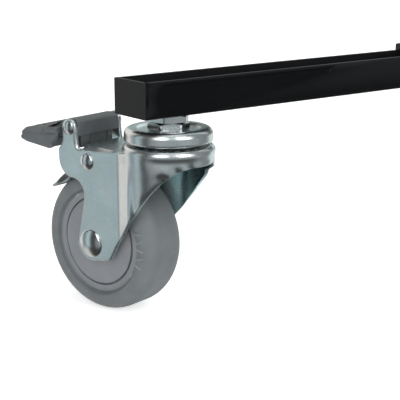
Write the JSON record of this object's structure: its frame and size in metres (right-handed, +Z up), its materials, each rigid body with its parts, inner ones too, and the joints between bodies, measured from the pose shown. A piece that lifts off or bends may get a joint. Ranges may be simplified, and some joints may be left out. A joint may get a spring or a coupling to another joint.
{
  "type": "tripod dolly",
  "caption": "Three-armed folding dolly for a tripod, with a sliding foot cup on each arm and a braked swivel castor under each arm's end.",
  "frame": {"origin": "middle of the footprint, on the floor", "axes": "+Z up, the fixed arm points towards -Y, and the folding arms point towards +X and -X, both a little to +Y"},
  "size_m": [0.8456, 0.774, 0.1476],
  "materials": {
    "zinc_plated_steel": "bright zinc plating",
    "black_coated_steel": "black powder coat",
    "grey_rubber": "soft grey rubber",
    "grey_polypropylene": "moulded",
    "dark_grey_nylon": "moulded",
    "black_nylon": "moulded"
  },
  "bodies": {
    "hub": {"hub_top_plate": "black_coated_steel", "hub_bottom_plate": "black_coated_steel", "hub_spacer": "zinc_plated_steel", "hub_bolt_1": "zinc_plated_steel", "hub_bolt_2": "zinc_plated_steel", "pivot_bolt_2": "zinc_plated_steel", "pivot_bolt_3": "zinc_plated_steel", "arm_1": "black_coated_steel", "stem_nut_1": "zinc_plated_steel", "stem_1": "zinc_plated_steel", "upper_race_1": "zinc_plated_steel", "lower_race_1": "zinc_plated_steel"},
    "folding_arm_2": {"arm_2": "black_coated_steel", "stem_nut_2": "zinc_plated_steel", "stem_2": "zinc_plated_steel", "upper_race_2": "zinc_plated_steel", "lower_race_2": "zinc_plated_steel"},
    "folding_arm_3": {"arm_3": "black_coated_steel", "stem_nut_3": "zinc_plated_steel", "stem_3": "zinc_plated_steel", "upper_race_3": "zinc_plated_steel", "lower_race_3": "zinc_plated_steel"},
    "middle_knob": {"hub_knob": "black_nylon"},
    "cup_1": {"foot_cup_1": "black_nylon"},
    "cup_2": {"foot_cup_2": "black_nylon"},
    "cup_3": {"foot_cup_3": "black_nylon"},
    "thumb_screw_1": {"foot_screw_1": "black_nylon"},
    "thumb_screw_2": {"foot_screw_2": "black_nylon"},
    "thumb_screw_3": {"foot_screw_3": "black_nylon"},
    "swivel_fork_1": {"fork_1": "zinc_plated_steel", "ball_ring_1": "zinc_plated_steel", "axle_1": "zinc_plated_steel", "brake_rivet_1": "zinc_plated_steel", "pedal_pin_1": "zinc_plated_steel"},
    "swivel_fork_2": {"fork_2": "zinc_plated_steel", "ball_ring_2": "zinc_plated_steel", "axle_2": "zinc_plated_steel", "brake_rivet_2": "zinc_plated_steel", "pedal_pin_2": "zinc_plated_steel"},
    "swivel_fork_3": {"fork_3": "zinc_plated_steel", "ball_ring_3": "zinc_plated_steel", "axle_3": "zinc_plated_steel", "brake_rivet_3": "zinc_plated_steel", "pedal_pin_3": "zinc_plated_steel"},
    "wheel_1": {"tyre_1": "grey_rubber", "wheel_core_1": "grey_polypropylene", "hub_bearing_1": "zinc_plated_steel"},
    "wheel_2": {"tyre_2": "grey_rubber", "wheel_core_2": "grey_polypropylene", "hub_bearing_2": "zinc_plated_steel"},
    "wheel_3": {"tyre_3": "grey_rubber", "wheel_core_3": "grey_polypropylene", "hub_bearing_3": "zinc_plated_steel"},
    "pedal_1": {"brake_pedal_1": "dark_grey_nylon"},
    "pedal_2": {"brake_pedal_2": "dark_grey_nylon"},
    "pedal_3": {"brake_pedal_3": "dark_grey_nylon"},
    "shoe_1": {"brake_shoe_1": "zinc_plated_steel"},
    "shoe_2": {"brake_shoe_2": "zinc_plated_steel"},
    "shoe_3": {"brake_shoe_3": "zinc_plated_steel"}
  },
  "joints": [
    {"name": "fold_arm_2", "type": "hinge", "parent": "hub", "child": "folding_arm_2", "pos_m": [0.01954, 0.10828, 0.117], "axis": [0, 0, -1], "range_deg": [0, 100]},
    {"name": "fold_arm_3", "type": "hinge", "parent": "hub", "child": "folding_arm_3", "pos_m": [-0.06706, 0.10828, 0.117], "axis": [0, 0, 1], "range_deg": [0, 100]},
    {"name": "turn_middle_knob", "type": "hinge", "parent": "hub", "child": "middle_knob", "pos_m": [-0.02376, 0.08328, 0.117], "axis": [0, 0, 1], "range_deg": [0, 360]},
    {"name": "slide_cup_1", "type": "slide", "parent": "hub", "child": "cup_1", "axis": [0, -1, 0], "range_m": [-0.06, 0.06]},
    {"name": "slide_cup_2", "type": "slide", "parent": "folding_arm_2", "child": "cup_2", "axis": [0.866, 0.5, 0], "range_m": [-0.06, 0.06]},
    {"name": "slide_cup_3", "type": "slide", "parent": "folding_arm_3", "child": "cup_3", "axis": [-0.866, 0.5, 0], "range_m": [-0.06, 0.06]},
    {"name": "turn_thumb_screw_1", "type": "hinge", "parent": "cup_1", "child": "thumb_screw_1", "pos_m": [-0.02376, -0.14172, 0.1185], "axis": [1, 0, 0], "range_deg": [0, 360]},
    {"name": "turn_thumb_screw_2", "type": "hinge", "parent": "cup_2", "child": "thumb_screw_2", "pos_m": [0.17109, 0.19578, 0.1185], "axis": [-0.5, 0.866, 0], "range_deg": [0, 360]},
    {"name": "turn_thumb_screw_3", "type": "hinge", "parent": "cup_3", "child": "thumb_screw_3", "pos_m": [-0.21862, 0.19578, 0.1185], "axis": [-0.5, -0.866, 0], "range_deg": [0, 360]},
    {"name": "swivel_1", "type": "hinge", "parent": "hub", "child": "swivel_fork_1", "pos_m": [-0.02376, -0.34672, 0.095], "axis": [0, 0, 1], "continuous": true},
    {"name": "swivel_2", "type": "hinge", "parent": "folding_arm_2", "child": "swivel_fork_2", "pos_m": [0.34863, 0.29828, 0.095], "axis": [0, 0, 1], "continuous": true},
    {"name": "swivel_3", "type": "hinge", "parent": "folding_arm_3", "child": "swivel_fork_3", "pos_m": [-0.39615, 0.29828, 0.095], "axis": [0, 0, 1], "continuous": true},
    {"name": "roll_wheel_1", "type": "hinge", "parent": "swivel_fork_1", "child": "wheel_1", "pos_m": [-0.06067, -0.35616, 0.0375], "axis": [-0.2477, 0.9688, 0], "continuous": true},
    {"name": "roll_wheel_2", "type": "hinge", "parent": "swivel_fork_2", "child": "wheel_2", "pos_m": [0.37526, 0.27103, 0.0375], "axis": [-0.7152, -0.6989, 0], "continuous": true},
    {"name": "roll_wheel_3", "type": "hinge", "parent": "swivel_fork_3", "child": "wheel_3", "pos_m": [-0.38587, 0.33497, 0.0375], "axis": [0.9629, -0.2699, 0], "continuous": true},
    {"name": "press_pedal_1", "type": "hinge", "parent": "swivel_fork_1", "child": "pedal_1", "pos_m": [-0.07424, -0.35962, 0.0972], "axis": [0.2477, -0.9688, 0], "range_deg": [0, 16]},
    {"name": "press_pedal_2", "type": "hinge", "parent": "swivel_fork_2", "child": "pedal_2", "pos_m": [0.38504, 0.26102, 0.0972], "axis": [0.7152, 0.6989, 0], "range_deg": [0, 16]},
    {"name": "press_pedal_3", "type": "hinge", "parent": "swivel_fork_3", "child": "pedal_3", "pos_m": [-0.38209, 0.34845, 0.0972], "axis": [-0.9629, 0.2699, 0], "range_deg": [0, 16]},
    {"name": "rock_shoe_1", "type": "hinge", "parent": "swivel_fork_1", "child": "shoe_1", "pos_m": [-0.06213, -0.35653, 0.0808], "axis": [0.2477, -0.9688, 0], "range_deg": [0, 2.4]},
    {"name": "rock_shoe_2", "type": "hinge", "parent": "swivel_fork_2", "child": "shoe_2", "pos_m": [0.37631, 0.26996, 0.0808], "axis": [0.7152, 0.6989, 0], "range_deg": [0, 2.4]},
    {"name": "rock_shoe_3", "type": "hinge", "parent": "swivel_fork_3", "child": "shoe_3", "pos_m": [-0.38546, 0.33641, 0.0808], "axis": [-0.9629, 0.2699, 0], "range_deg": [0, 2.4]}
  ],
  "couplings": [
    {"joint": "rock_shoe_1", "follows": "press_pedal_1", "ratio": 0.15},
    {"joint": "rock_shoe_2", "follows": "press_pedal_2", "ratio": 0.15},
    {"joint": "rock_shoe_3", "follows": "press_pedal_3", "ratio": 0.15}
  ]
}
